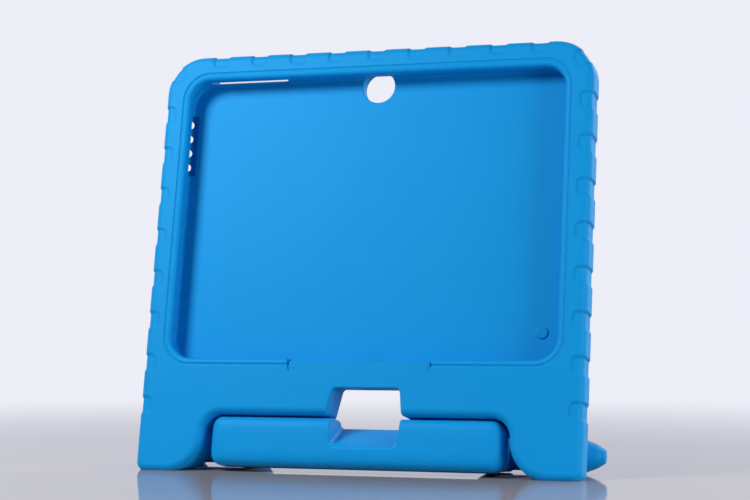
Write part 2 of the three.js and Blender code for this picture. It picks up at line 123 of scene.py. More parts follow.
def add_ring(bm: BMesh, corners: Sequence[Corner], depth: float, inset: float = 0.0) -> BMFace:
    """Adds a flat ring with rounded corners.

    Args:
        bm: Mesh that it is added to.
        corners: Corners of the outline, anticlockwise.
        depth: Depth of the ring below the front face.
        inset: How far inside the outline the ring lies. Less than 0 lies outside.

    Returns:
        The face that fills the ring.
    """
    known = set(bm.faces)
    placed = []
    for i, corner in enumerate(corners):
        spot = Vector((corner.x, corner.y))
        before = (Vector((corners[i - 1].x, corners[i - 1].y)) - spot).normalized()
        following = corners[(i + 1) % len(corners)]
        after = (Vector((following.x, following.y)) - spot).normalized()
        half = math.acos(max(-1.0, min(1.0, before.dot(after)))) / 2
        bulge = 1.0 if after.x * before.y - after.y * before.x > 0 else -1.0
        spot += (before + after).normalized() * bulge * inset / math.sin(half)
        bend = max(corner.radius - bulge * inset, LEAST_BEND) if corner.radius else 0.0
        placed.append((bm.verts.new((spot.x, spot.y, -depth)), bend / math.tan(half), corner.steps))
    bm.faces.new([vert for vert, _, _ in placed])
    for vert, reach, steps in placed:
        if reach:
            bmesh.ops.bevel(bm, geom=[vert], offset=reach, offset_type="OFFSET", segments=steps, profile=0.5,
                            affect="VERTICES", clamp_overlap=False, material=-1)
    return next(face for face in bm.faces if face not in known)


def loft(bm: BMesh, rings: Sequence[BMFace], hoop: bool = False) -> None:
    """Joins rings of equal edge count into one closed skin.

    Args:
        bm: Mesh that holds the rings.
        rings: Faces that fill the rings, in order.
        hoop: Whether the last ring joins the first, with no end caps.
    """
    loops = [list(ring.edges) for ring in rings]
    inner = list(rings) if hoop else list(rings[1:-1])
    bmesh.ops.delete(bm, geom=inner, context="FACES_ONLY")
    spans = list(zip(loops, loops[1:]))
    if hoop:
        spans.append((loops[-1], loops[0]))
    for near, far in spans:
        bmesh.ops.bridge_loops(bm, edges=near + far)
    bmesh.ops.recalc_face_normals(bm, faces=bm.faces)


def slab(corners: Sequence[Corner], near: float, far: float, near_round: float = 0.0,
         far_round: float = 0.0, steps: int = EDGE_STEPS) -> BMesh:
    """Makes a slab of an outline, with its near and far edges rounded over.

    Args:
        corners: Corners of the outline, anticlockwise.
        near: Depth of the near face.
        far: Depth of the far face.
        near_round: Radius along the near edge.
        far_round: Radius along the far edge.
        steps: Edges across each rounded edge.

    Returns:
        The slab as a closed mesh.
    """
    bm = bmesh.new()
    rings = []
    for edge, bend, away in ((near, near_round, 1), (far, far_round, -1)):
        if bend:
            part = [add_ring(bm, corners, edge + away * bend * (1 - cos), bend * (1 - sin))
                    for sin, cos in quarter(steps)]
        else:
            part = [add_ring(bm, corners, edge)]
        rings += part if away > 0 else part[::-1]
    loft(bm, rings)
    return bm


def tunnel(corners: Sequence[Corner], near: float, far: float, near_flare: float = 0.0,
           far_flare: float = 0.0, rise: float = 0.0, rise_from: float = 0.0, steps: int = 5) -> BMesh:
    """Makes a cutter whose mouths open in a rounded flare.

    Args:
        corners: Corners of the opening, anticlockwise.
        near: Depth of the face that the near mouth lies in.
        far: Depth of the face that the far mouth lies in.
        near_flare: Radius of the near flare.
        far_flare: Radius of the far flare.
        rise: Height that the cutter gains with each millimetre of depth.
        rise_from: Depth at which it has gained none.
        steps: Edges across each flare.

    Returns:
        The cutter as a closed mesh.
    """
    bm = bmesh.new()
    rings = [add_ring(bm, corners, near - OVERSHOOT, -near_flare)]
    if near_flare:
        rings += [add_ring(bm, corners, near + near_flare * (1 - cos), -near_flare * (1 - sin))
                  for sin, cos in quarter(steps)]
    if far_flare:
        rings += [add_ring(bm, corners, far - far_flare * (1 - cos), -far_flare * (1 - sin))
                  for sin, cos in reversed(quarter(steps))]
    rings.append(add_ring(bm, corners, far + OVERSHOOT, -far_flare))
    loft(bm, rings)
    for vert in bm.verts:
        vert.co.y += rise * (-vert.co.z - rise_from)
    return bm


def moved(bm: BMesh, matrix: Matrix) -> BMesh:
    """Moves, turns or mirrors a closed mesh, and sees that its faces still point outwards.

    Args:
        bm: Mesh to move.
        matrix: How it is moved.

    Returns:
        The same mesh.
    """
    bmesh.ops.transform(bm, matrix=matrix, verts=bm.verts)
    bmesh.ops.recalc_face_normals(bm, faces=bm.faces)
    return bm


def across(bm: BMesh, side: Side) -> BMesh:
    """Turns a slab drawn by depth and height so that it runs across the case on one side."""
    # The slab's x is a depth, and its depth is a distance from the middle of the case.
    return moved(bm, Matrix(((0, 0, -side.value, 0), (0, 1, 0, 0), (-1, 0, 0, 0), (0, 0, 0, 1))))


def turned(corners: Sequence[Corner], steps: int = ROUND_STEPS) -> BMesh:
    """Turns an outline round the x axis.

    Args:
        corners: Outline by place along the axis and radius, anticlockwise, with two corners on the axis.
        steps: Facets round the axis.

    Returns:
        The turned shape as a closed mesh along x.
    """
    bm = bmesh.new()
    face = add_ring(bm, corners, 0.0)
    bmesh.ops.delete(bm, geom=[face], context="FACES_ONLY")
    on_axis = [edge for edge in bm.edges if all(abs(vert.co.y) < WELD for vert in edge.verts)]
    bmesh.ops.delete(bm, geom=on_axis, context="EDGES")
    bmesh.ops.spin(bm, geom=list(bm.verts) + list(bm.edges), cent=(0, 0, 0), axis=(1, 0, 0), dvec=(0, 0, 0),
                   angle=2 * math.pi, steps=steps, use_merge=True, use_duplicate=False)
    bmesh.ops.remove_doubles(bm, verts=bm.verts, dist=WELD)
    bmesh.ops.recalc_face_normals(bm, faces=bm.faces)
    return bm


def rod(start: Vector, end: Vector, radius: float, sides: int = ROUND_STEPS) -> BMesh:
    """Makes a round rod.

    Args:
        start: Middle of one end.
        end: Middle of the other end.
        radius: Its radius.
        sides: Facets round it.

    Returns:
        The rod as a closed mesh.
    """
    bm, along = bmesh.new(), end - start
    place = Matrix.Translation((start + end) / 2) @ along.to_track_quat("Z", "Y").to_matrix().to_4x4()
    bmesh.ops.create_cone(bm, cap_ends=True, cap_tris=False, segments=sides, radius1=radius, radius2=radius,
                          depth=along.length, matrix=place)
    return bm


def to_object(bm: BMesh, name: str) -> bpy.types.Object:
    """Puts a mesh in the scene and frees it.

    Args:
        bm: Mesh to place.
        name: Name of the object.

    Returns:
        The new object.
    """
    mesh = bpy.data.meshes.new(name)
    bm.to_mesh(mesh)
    bm.free()
    made = bpy.data.objects.new(name, mesh)
    bpy.context.scene.collection.objects.link(made)
    return made


class Moulding:
    """One foam moulding, which others are cut from and added to."""

    def __init__(self, name: str, base: BMesh) -> None:
        """Starts a moulding from its name and its main shape."""
        self.piece = to_object(base, name)
        self.tools: list[bpy.types.Object] = []

    def meet(self, how: Join, tool: BMesh) -> None:
        """Cuts a shape from the moulding, or adds one.

        Args:
            how: Whether it is cut or added.
            tool: The shape, which is used up.
        """
        shape = to_object(tool, f"{self.piece.name}_tool_{len(self.tools)}")
        shape.hide_render = True
        step = self.piece.modifiers.new(shape.name, "BOOLEAN")
        step.operation = how.value
        step.solver = "MANIFOLD"
        step.object = shape
        self.tools.append(shape)

    def settle(self) -> bpy.types.Object:
        """Makes the joins permanent and removes the tools.

        Returns:
            The piece, as one plain mesh.
        """
        graph = bpy.context.evaluated_depsgraph_get()
        mesh = bpy.data.meshes.new_from_object(self.piece.evaluated_get(graph), depsgraph=graph)
        self.piece.modifiers.clear()
        self.piece.data = mesh
        for tool in self.tools:
            bpy.data.objects.remove(tool, do_unlink=True)
        self.tools.clear()
        return self.piece


def srgb(hex_colour: str) -> tuple[float, float, float, float]:
    """Turns an sRGB hex colour into a linear one.

    Args:
        hex_colour: Colour such as "#1e96e0".

    Returns:
        Linear red, green, blue and an alpha of 1.
    """
    parts = [int(hex_colour[i:i + 2], 16) / 255 for i in (1, 3, 5)]
    linear = [c / 12.92 if c <= 0.04045 else ((c + 0.055) / 1.055) ** 2.4 for c in parts]
    return (*linear, 1.0)


def add_node(tree: bpy.types.NodeTree, kind: str, values: dict[str | int, object] | None = None,
             links: dict[str | int, bpy.types.NodeSocket] | None = None,
             **settings: object) -> bpy.types.Node:
    """Adds a node with its settings, values and links.

    Args:
        tree: Node tree that it is added to.
        kind: Blender's name of the node type.
        values: Socket values by name or number.
        links: Output sockets to link, by the name or number of the input.
        settings: Attributes of the node.

    Returns:
        The new node.
    """
    node = tree.nodes.new(kind)
    for name, value in settings.items():
        setattr(node, name, value)
    for key, value in (values or {}).items():
        node.inputs[key].default_value = value
    for key, socket in (links or {}).items():
        tree.links.new(socket, node.inputs[key])
    return node


def empty_tree(owner: bpy.types.Material | bpy.types.World) -> bpy.types.NodeTree:
    """Turns on the nodes of a material or world and clears them.

    Args:
        owner: The material or world.

    Returns:
        Its node tree, with nothing in it.
    """
    owner.use_nodes = True
    owner.node_tree.nodes.clear()
    return owner.node_tree


@dataclass(frozen=True)
class FoamSkin:
    """Closed-cell EVA foam, moulded in one shot.

    The hot mould seals the foam in a thin matt skin, so the eye sees an even colour, broad soft highlights,
    edges that are never sharp and, close up, the faint dimples of the cells under the skin. Lengths are in
    millimetres.
    """

    name: str = "moulded_eva_foam"
    colour: str = "#0a98e1"
    # The skin is matt, and what little it mirrors stays bluish.
    roughness: float = 0.5
    ior: float = 1.48
    shine: float = 0.3
    shine_tint: str = "#8ccdff"
    edge_softness: float = 0.8
    # Cooling draws the skin slightly lighter and darker over a few centimetres.
    cloud_size: float = 35.0
    cloud_strength: float = 0.025
    # Real cells are about 0.2 mm. They are drawn coarser so that a close view still shows them.
    cell_size: float = 0.9
    dimple_depth: float = 0.05
    dimple_strength: float = 0.10

    def material(self) -> bpy.types.Material:
        """Builds the foam's material.

        Returns:
            The material.
        """
        made = bpy.data.materials.new(self.name)
        tree = empty_tree(made)
        place = add_node(tree, "ShaderNodeTexCoord").outputs["Object"]
        clouds = add_node(tree, "ShaderNodeTexNoise", {"Scale": 1 / (self.cloud_size * MM), "Detail": 2.0},
                          {"Vector": place})
        tone = add_node(tree, "ShaderNodeMapRange",
                        {"To Min": 1 - self.cloud_strength, "To Max": 1 + self.cloud_strength},
                        {"Value": clouds.outputs[0]})
        colour = add_node(tree, "ShaderNodeHueSaturation", {"Color": srgb(self.colour)},
                          {"Value": tone.outputs["Result"]})
        cells = add_node(tree, "ShaderNodeTexNoise", {"Scale": 1 / (self.cell_size * MM), "Detail": 1.0},
                         {"Vector": place})
        edge = add_node(tree, "ShaderNodeBevel", {"Radius": self.edge_softness * MM}, samples=6)
        dimples = add_node(tree, "ShaderNodeBump",
                           {"Strength": self.dimple_strength, "Distance": self.dimple_depth * MM},
                           {"Height": cells.outputs[0], "Normal": edge.outputs["Normal"]})
        skin = add_node(tree, "ShaderNodeBsdfPrincipled",
                        {"Roughness": self.roughness, "IOR": self.ior, "Specular IOR Level": self.shine,
                         "Specular Tint": srgb(self.shine_tint)},
                        {"Base Color": colour.outputs["Color"], "Normal": dimples.outputs["Normal"]})
        add_node(tree, "ShaderNodeOutputMaterial", links={"Surface": skin.outputs["BSDF"]})
        return made


@dataclass(frozen=True)
class CasePlan:
    """Sizes that both mouldings are drawn from, in millimetres, and the angle of the case, in degrees."""

    lean: float = 10.8
    depth: float = 23.0
    half_width: float = 134.9
    top: float = 257.9
    # The soles are drawn this much too long and are then cut off at the table.
    sole_trim: float = 0.2
    # The pocket's channel, which grips the tablet under the lip.
    pocket_half_width: float = 122.0
    pocket_bottom: float = 66.5
    pocket_top: float = 243.5
    floor_depth: float = 14.5
    lip_thickness: float = 5.5
    # The handle's bar, and the recess of the case that it lies in.
    bar_half_length: float = 88.9
    bar_bottom: float = 4.8
    bar_top: float = 33.8
    recess_top: float = 34.8
    # The finger window, the upper part of which is in the case and the lower in the bar.
    window_left: float = -14.3
    window_right: float = 28.7
    window_flare: float = 3.5
    window_edge: float = 1.2
    # The hinge, on the axis of the CAD joint.
    hub_depth: float = 48.1
    hub_y: float = 19.763
    lug_inner: float = 112.0
    lug_outer: float = 124.0
    peg_radius: float = 5.8
    hinge_clearance: float = 0.3

    @property
    def slot_depth(self) -> float:
        """Depth of the middle of the channel that grips the tablet."""
        return (self.lip_thickness + self.floor_depth) / 2

    def stand_up(self, piece: bpy.types.Object, set_back: float) -> None:
        """Leans a piece back as it stands on the table, in metres.

        Args:
            piece: Piece drawn in the plane of the case.
            set_back: Distance that it moves along y, in millimetres.
        """
        turn = Matrix.Rotation(math.radians(90 - self.lean), 4, "X")
        piece.data.transform(Matrix.Scale(MM, 4) @ Matrix.Translation((0, set_back, 0)) @ turn)
        piece.data.update()

    def set_back(self, piece: bpy.types.Object, node: str) -> float:
        """Distance along y that lines a piece up with a CAD node.

        Args:
            piece: Piece drawn in the plane of the case.
            node: Name of the CAD node that has its place.

        Returns:
            The distance in millimetres.
        """
        sin, cos = math.sin(math.radians(self.lean)), math.cos(math.radians(self.lean))
        reach = [v.co.y * sin - v.co.z * cos for v in piece.data.vertices]
        low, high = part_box(node)
        return (low.y + high.y) / 2 / MM - (min(reach) + max(reach)) / 2


def finish_piece(piece: bpy.types.Object, skin: bpy.types.Material, body: str, node: str) -> None:
    """Gives a piece its finish and fixes it to its CAD body.

    Args:
        piece: Piece in its place.
        skin: Its material.
        body: CAD body that it rides on.
        node: CAD node that it stands for.
    """
    piece.data.materials.clear()
    piece.data.materials.append(skin)
    piece.data.shade_smooth()
    piece.data.set_sharp_from_angle(angle=math.radians(SHARP_ANGLE))
    weighted = piece.modifiers.new("even_shading", "WEIGHTED_NORMAL")
    weighted.keep_sharp = True
    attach(piece, body)
    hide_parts(node)
    LOG.info("%s: %d faces", piece.name, len(piece.data.polygons))


@dataclass
class FoamCase:
    """The case: lipped pocket, ribbed grip edge, two feet and two rear lugs.

    Sizes are in millimetres and angles in degrees.
    """

    plan: CasePlan
    # Plate and feet.
    corner_round: float = 23.5
    front_round: float = 4.5
    back_round: float = 8.0
    foot_gap: float = 4.0
    foot_inner_round: float = 23.0
    foot_outer_round: float = 6.0
    recess_round: float = 11.0
    # Share of the back's rounding that the recess takes. Below 0 the recess narrows towards the back.
    recess_back_share: float = -0.16
    # Lip over the tablet, with its bead and the groove round the bead.
    lip_over_sides: float = 3.8
    lip_over_ends: float = 1.5
    lip_round: float = 12.5
    bead_round: float = 2.6
    bead_width: float = 3.9
    groove_width: float = 1.7
    groove_depth: float = 0.55
    # Recesses of the grip edge.
    tread_gap: float = 9.7
    tread_reach: float = 7.7
    tread_depth: float = 0.8
    tread_face_depth: float = 0.4
    tread_round: float = 3.0
    tread_below_corner: float = 9.0
    tread_lowest: float = 25.0
    tread_corner_angle: float = 36.0
    side_pitch: float = 25.9
    top_pitch: float = 25.2
    top_shift: float = 1.5
    # Lowered lip by the home key.
    relief_middle: float = 1.7
    relief_half_width: float = 43.6
    relief_drop: float = 0.3
    relief_edge: float = 1.2
    thumb_height: float = 6.0
    thumb_depth: float = 0.9
    slit_length: float = 3.8
    slit_width: float = 3.0
    # Camera hole.
    camera_x: float = -0.3
    camera_radius: float = 10.0
    camera_below_top: float = 19.9
    camera_front_edge: float = 0.5
    camera_rear_edge: float = 1.4
    # Speaker holes, and the sound channel in the pocket's floor.
    speaker_count: int = 4
    speaker_radius: float = 2.5
    speaker_pitch: float = 9.2
    speaker_behind_wall: float = 1.4
    speaker_splay: float = 20.0
    speaker_rise: float = 15.0
    speaker_below_top: float = 25.7
    channel_past_holes: float = 5.5
    channel_width: float = 4.3
    channel_depth: float = 1.8
    # Slots for the keys and the charging plug.
    key_slot_from_side: float = 12.8
    key_slot_length: float = 51.0
    key_slot_rise: float = 3.7
    plug_slot_length: float = 14.0
    slot_width: float = 7.0
    # Finger window.
    window_height: float = 15.7
    window_round: float = 2.5
    window_draft: float = 1.2
    window_left_slant: float = 3.0
    window_right_slant: float = 0.8
    window_rear_edge: float = 2.0
    window_rise: float = 0.1
    # Rear lugs.
    lug_wall: float = 7.0
    lug_round: float = 7.0
    lug_edge: float = 2.5
    lug_below_pocket: float = 3.0
    # Small round pad on the pocket's floor.
    pad_from_side: float = 15.3
    pad_above_end: float = 19.5
    pad_radius: float = 3.9
    pad_chamfer: float = 0.45
    pad_height: float = 0.9

    def outline(self, held: float = 0.0) -> list[Corner]:
        """Corners of the case seen from the front.

        Args:
            held: How far the recess for the handle is held back, to be rounded less than the rest.

        Returns:
            The corners, anticlockwise.
        """
        plan = self.plan
        recess = plan.bar_half_length + self.foot_gap - held
        right = [
            Corner(recess, plan.recess_top - held, self.recess_round, 14),
            Corner(recess, -plan.sole_trim, self.foot_inner_round, 22),
            Corner(plan.half_width, -plan.sole_trim, self.foot_outer_round, 10),
            Corner(plan.half_width, plan.top, self.corner_round, 26),
        ]
        left = [Corner(-c.x, c.y, c.radius, c.steps) for c in reversed(right)]
        return right + left

    def plate(self, edge_sunk: float = 0.0, face_sunk: float = 0.0) -> BMesh:
        """Makes the plate of the case, or one that lies inside it.

        Args:
            edge_sunk: How far its edge lies inside the full plate.
            face_sunk: How far its faces lie inside the full plate.

        Returns:
            The plate as a closed mesh.
        """
        bm, rings = bmesh.new(), []
        for edge, bend, away in ((0.0, self.front_round, 1), (self.plan.depth, self.back_round, -1)):
            part = []
            for sin, cos in quarter(EDGE_STEPS):
                inset = bend - (bend - edge_sunk) * sin
                held = 0.0 if away > 0 else inset * (1 - self.recess_back_share)
                depth = edge + away * (bend - (bend - face_sunk) * cos)
                part.append(add_ring(bm, self.outline(held), depth, inset))
            rings += part if away > 0 else part[::-1]
        loft(bm, rings)
        return bm

    def opening(self, bm: BMesh, grow_x: float, grow_y: float, depth: float) -> BMFace:
        """Adds a ring shaped as the lip's opening.

        Args:
            bm: Mesh that it is added to.
            grow_x: How far each side lies outside the opening.
            grow_y: How far each end lies outside the opening.
            depth: Its depth.

        Returns:
            The face that fills the ring.
        """
        plan = self.plan
        x = plan.pocket_half_width - self.lip_over_sides + grow_x
        low = plan.pocket_bottom + self.lip_over_ends - grow_y
        high = plan.pocket_top - self.lip_over_ends + grow_y
        bend = self.lip_round + max(grow_x, grow_y)
        return add_ring(bm, oblong(-x, low, x, high, bend, 2 * EDGE_STEPS), depth)

    def pocket(self) -> BMesh:
        """Cutter of the pocket: the lip's rounded edge, the channel under the lip, and the floor.

        Returns:
            The cutter as a closed mesh.
        """
        plan, bm = self.plan, bmesh.new()
        rings = [self.opening(bm, self.bead_round, self.bead_round, -OVERSHOOT)]
        for sin, cos in quarter(EDGE_STEPS):
            grow = self.bead_round * (1 - sin)
            rings.append(self.opening(bm, grow, grow, self.bead_round * (1 - cos)))
        half_slot = (plan.floor_depth - plan.lip_thickness) / 2
        # The channel's section is a squared half circle, a superellipse of the fourth power.
        steps = 2 * EDGE_STEPS
        for k in range(steps + 1):
            angle = math.pi * k / steps
            out = math.sqrt(max(math.sin(angle), 0.0))
            along = math.copysign(math.sqrt(abs(math.cos(angle))), math.cos(angle))
            rings.append(self.opening(bm, self.lip_over_sides * out, self.lip_over_ends * out,
                                      plan.slot_depth - half_slot * along))
        loft(bm, rings)
        return bm

    def groove(self) -> BMesh:
        """Cutter of the narrow groove that sets the bead off from the face.

        Returns:
            The cutter, a closed hoop.
        """
        bm, rings = bmesh.new(), []
        for out, depth in GROOVE_SECTION:
            grow = self.bead_width + out * self.groove_width / 2
            rings.append(self.opening(bm, grow, grow, self.groove_depth * depth))
        loft(bm, rings, hoop=True)
        return bm

    def tread_places(self) -> list[Matrix]:
        """Places and turns of the recesses of the grip edge.

        Returns:
            One matrix for each recess: down both sides, along the top, then at the two upper corners.
        """
        plan = self.plan
        places = []
        y = plan.top - self.corner_round - self.tread_below_corner
        while y > self.tread_lowest + self.tread_gap:
            places += [(plan.half_width, y, 0.0), (-plan.half_width, y - self.tread_gap, 180.0)]
            y -= self.side_pitch
        gaps = math.floor((2 * (plan.half_width - self.corner_round) - self.tread_gap) / self.top_pitch)
        for i in range(gaps + 1):
            x = self.top_shift - self.tread_gap / 2 + (i - gaps / 2) * self.top_pitch
            places.append((x, plan.top, 90.0))
        turns = [Matrix.Translation((x, y, 0)) @ Matrix.Rotation(math.radians(angle), 4, "Z")
                 for x, y, angle in places]
        outwards = Matrix.Translation((self.corner_round, self.tread_gap / 2, 0))
        for side, angle in ((1, self.tread_corner_angle), (-1, 180.0 - self.tread_corner_angle)):
            centre = (side * (plan.half_width - self.corner_round), plan.top - self.corner_round, 0)
            turns.append(Matrix.Translation(centre) @ Matrix.Rotation(math.radians(angle), 4, "Z") @ outwards)
        return turns

    def tread(self, grow: float, share: float) -> BMesh:
        """Cutter of the recesses between the treads of the grip edge.

        Args:
            grow: How far each recess reaches past its size, which eases its rim.
            share: Share of the full depth that is cut.

        Returns:
            The cutter.
        """
        outline = [
            Corner(-self.tread_reach - grow, -self.tread_gap - grow, self.tread_round + grow, 6),
            Corner(OVERSHOOT, -self.tread_gap - grow),
            Corner(OVERSHOOT, grow),
            Corner(-self.tread_reach - grow, grow, self.tread_round + grow, 6),
        ]
        blocks = bmesh.new()
        for turn in self.tread_places():
            self.add_block(blocks, outline, turn)
        bmesh.ops.recalc_face_normals(blocks, faces=blocks.faces)
        tread = Moulding("tread", blocks)
        tread.meet(Join.CUT, self.plate(self.tread_depth * share, self.tread_face_depth * share))
        shape = tread.settle()
        bm = bmesh.new()
        bm.from_mesh(shape.data)
        bpy.data.objects.remove(shape, do_unlink=True)
        return bm

    def add_block(self, blocks: BMesh, outline: Sequence[Corner], turn: Matrix) -> None:
        """Adds one block that marks a recess of the tread.

        Args:
            blocks: Mesh that it is added to.
            outline: Its outline.
            turn: Its place and angle.
        """
        known = set(blocks.verts)
        rings = [add_ring(blocks, outline, depth) for depth in (-OVERSHOOT, self.plan.depth + OVERSHOOT)]
        near, far = (list(ring.edges) for ring in rings)
        bmesh.ops.bridge_loops(blocks, edges=near + far)
        bmesh.ops.transform(blocks, matrix=turn, verts=[v for v in blocks.verts if v not in known])

    def thumb_relief(self) -> list[BMesh]:
        """Cutters of the lowered lip by the home key, its thumb recess and the slit at each end.

        Returns:
            The cutters, in that order.
        """
        plan = self.plan
        left, right = self.relief_middle - self.relief_half_width, self.relief_middle + self.relief_half_width
        edge = plan.pocket_bottom - self.relief_drop
        top = plan.pocket_bottom + self.lip_over_ends + self.bead_round
        foot = edge - self.thumb_height
        thumb = [Corner(left, foot, 2.0), Corner(right, foot, 2.0), Corner(right, top), Corner(left, top)]
        cuts = [tunnel(oblong(left, edge, right, top), 0, plan.lip_thickness, self.relief_edge),
                slab(thumb, -OVERSHOOT, self.thumb_depth)]
        for x in (left, right):
            slit = [Corner(x, edge - self.slit_length), Corner(x + self.slit_width / 2, top),
                    Corner(x - self.slit_width / 2, top)]
            cuts.append(slab(slit, -OVERSHOOT, plan.lip_thickness))
        return cuts

    def camera_hole(self) -> BMesh:
        """Cutter of the camera hole, with both rims eased.

        Returns:
            The cutter, in its place.
        """
        plan = self.plan
        front_wide = self.camera_radius + self.camera_front_edge
        rear_wide = self.camera_radius + self.camera_rear_edge
        near, far = plan.floor_depth - OVERSHOOT, plan.depth + OVERSHOOT
        bm = turned([
            Corner(near, 0.0), Corner(far, 0.0), Corner(far, rear_wide), Corner(plan.depth, rear_wide),
            Corner(plan.depth - self.camera_rear_edge, self.camera_radius, 1.0, 5),
            Corner(plan.floor_depth + self.camera_front_edge, self.camera_radius, 0.4, 5),
            Corner(plan.floor_depth, front_wide), Corner(near, front_wide),
        ])
        place = Matrix.Translation((self.camera_x, plan.top - self.camera_below_top, 0))
        return moved(bm, place @ Matrix.Rotation(math.pi / 2, 4, "Y"))

    def speaker_openings(self) -> list[BMesh]:
        """Cutters of the speaker holes and of the sound channel beside them.

        Returns:
            The cutters of the holes, from the top down, and then the channel's.
        """
        plan = self.plan
        top = plan.pocket_top - self.speaker_below_top
        floor_x = -plan.pocket_half_width - self.speaker_behind_wall
        spread, rise = (math.tan(math.radians(angle)) for angle in (self.speaker_splay, self.speaker_rise))
        near, far = plan.slot_depth - plan.floor_depth, plan.depth + OVERSHOOT - plan.floor_depth
        cuts = []
        for i in range(self.speaker_count):
            y = top - i * self.speaker_pitch
            ends = [Vector((floor_x - spread * past, y + rise * past, -plan.floor_depth - past))
                    for past in (near, far)]
            cuts.append(rod(*ends, self.speaker_radius, 40))
        left, right = -plan.pocket_half_width, self.channel_width - plan.pocket_half_width
        low = top - (self.speaker_count - 1) * self.speaker_pitch - self.channel_past_holes
        high = top + self.channel_past_holes
        channel = [Corner(left, low), Corner(right, low, 1.0), Corner(right, high, 1.0), Corner(left, high)]
        cuts.append(slab(channel, plan.slot_depth, plan.floor_depth + self.channel_depth))
        return cuts

    def upright_slot(self, middle: float, length: float, low: float, high: float) -> BMesh:
        """Cutter of a slot with round ends that runs up the case.

        Args:
            middle: Its middle on x.
            length: Its length.
            low: Where it starts.
            high: Where it ends.

        Returns:
            The cutter.
        """
        half = self.slot_width / 2
        # The radius is a hair under the half width, which keeps the edge between two arcs from vanishing.
        bm = slab(oblong(-length / 2, -half, length / 2, half, half - 0.01), -high, -low)
        place = Matrix.Translation((middle, 0, -self.plan.slot_depth))
        return moved(bm, place @ Matrix.Rotation(-math.pi / 2, 4, "X"))

    def key_slot(self) -> list[BMesh]:
        """Cutters of the slot over the tablet's keys, open at the top and, above a slope, at the rear.

        Returns:
            The slot's cutter, and then the one that opens it at the rear.
        """
        plan = self.plan
        outer = plan.pocket_half_width - self.key_slot_from_side
        inner = outer - self.key_slot_length
        above, slope_end = plan.top + OVERSHOOT, plan.pocket_top + self.key_slot_rise
        profile = [
            Corner(plan.slot_depth, plan.pocket_top), Corner(plan.floor_depth, plan.pocket_top),
            Corner(plan.depth, slope_end), Corner(plan.depth + OVERSHOOT, slope_end),
            Corner(plan.depth + OVERSHOOT, above), Corner(plan.slot_depth, above),
        ]
        below = plan.pocket_top - OVERSHOOT
        slot = self.upright_slot(-(inner + outer) / 2, self.key_slot_length, below, above)
        return [slot, across(slab(profile, inner, outer), Side.LEFT)]

    def plug_slot(self) -> BMesh:
        """Cutter of the slot for the charging plug, from the finger window up into the pocket.

        Returns:
            The cutter, in its place.
        """
        plan = self.plan
        low, high = plan.recess_top + self.window_height - OVERSHOOT, plan.pocket_bottom + OVERSHOOT
        return self.upright_slot((plan.window_left + plan.window_right) / 2, self.plug_slot_length, low, high)

    def finger_window(self) -> list[BMesh]:
        """Cutters of the finger window above the bar, and of the flare at its foot.

        Returns:
            The window's cutter, and then the flare's.
        """
        plan, flare = self.plan, self.plan.window_flare
        top, low = plan.recess_top + self.window_height, plan.recess_top - OVERSHOOT
        left, right = plan.window_left + self.window_draft, plan.window_right - self.window_draft
        foot_left = plan.window_left - self.window_left_slant
        foot_right = plan.window_right + self.window_right_slant
        window = [Corner(foot_left, low), Corner(foot_right, low), Corner(right, top, self.window_round),
                  Corner(left, top, self.window_round)]
        # The flare's sides run on up inside the window and end below its rounded corners.
        inside = top - self.window_round - 1.0
        foot = [
            Corner(foot_left - 2 * flare, low), Corner(foot_right + 2 * flare, low),
            Corner(foot_right + 2 * flare, plan.recess_top),
            Corner(foot_right, plan.recess_top, 0.6 * flare, 10),
            Corner(right, inside), Corner(left, inside),
            Corner(foot_left, plan.recess_top, flare, 10), Corner(foot_left - 2 * flare, plan.recess_top),
        ]
        return [tunnel(window, 0, plan.depth, plan.window_edge, self.window_rear_edge, rise=self.window_rise),
                slab(foot, -OVERSHOOT, plan.depth + OVERSHOOT)]

    def rear_lug(self, side: Side) -> BMesh:
        """Rear lug that holds a peg, with the gusset that carries it off the back of the case.

        Args:
            side: Side that it stands on.

        Returns:
            The lug.
        """
        plan = self.plan
        bend = plan.peg_radius + self.lug_wall
        rear, top, buried = plan.hub_depth + bend, plan.hub_y + bend, plan.depth / 2
        gusset_top = plan.pocket_bottom - self.lug_below_pocket
        slope = math.tan(math.radians(plan.lean))
        profile = [
            Corner(buried, buried * slope - plan.sole_trim),
            Corner(rear, rear * slope - plan.sole_trim, self.lug_round),
            Corner(rear, top, bend, 14), Corner(plan.hub_depth - 0.8 * bend, top, bend, 14),
            Corner(plan.depth, gusset_top, self.lug_round), Corner(buried, gusset_top),
        ]
        lug = slab(profile, plan.lug_inner, plan.lug_outer, self.lug_edge, self.lug_edge, steps=6)
        return across(lug, side)

    def below_table(self) -> BMesh:
        """Cutter of all that is below the table, a block larger than the case.

        Returns:
            The cutter, turned to lie as the table does before the case is leaned back.
        """
        bm, size = bmesh.new(), 600.0
        sink = Matrix.Rotation(math.radians(self.plan.lean), 4, "X") @ Matrix.Translation((0, -size / 2, 0))
        bmesh.ops.create_cube(bm, size=size, matrix=sink)
        return bm

    def pad(self) -> BMesh:
        """Small round pad on the pocket's floor, with its foot buried in the floor.

        Returns:
            The pad, in its place.
        """
        plan, length = self.plan, 2.0
        bm = turned([Corner(0.0, 0.0), Corner(length, 0.0), Corner(length, self.pad_radius),
                     Corner(0.0, self.pad_radius - self.pad_chamfer, 0.5, 4)], 48)
        place = Matrix.Translation((plan.pocket_half_width - self.pad_from_side,
                                    plan.pocket_bottom + self.pad_above_end,
                                    self.pad_height - plan.floor_depth))
        return moved(bm, place @ Matrix.Rotation(math.pi / 2, 4, "Y"))

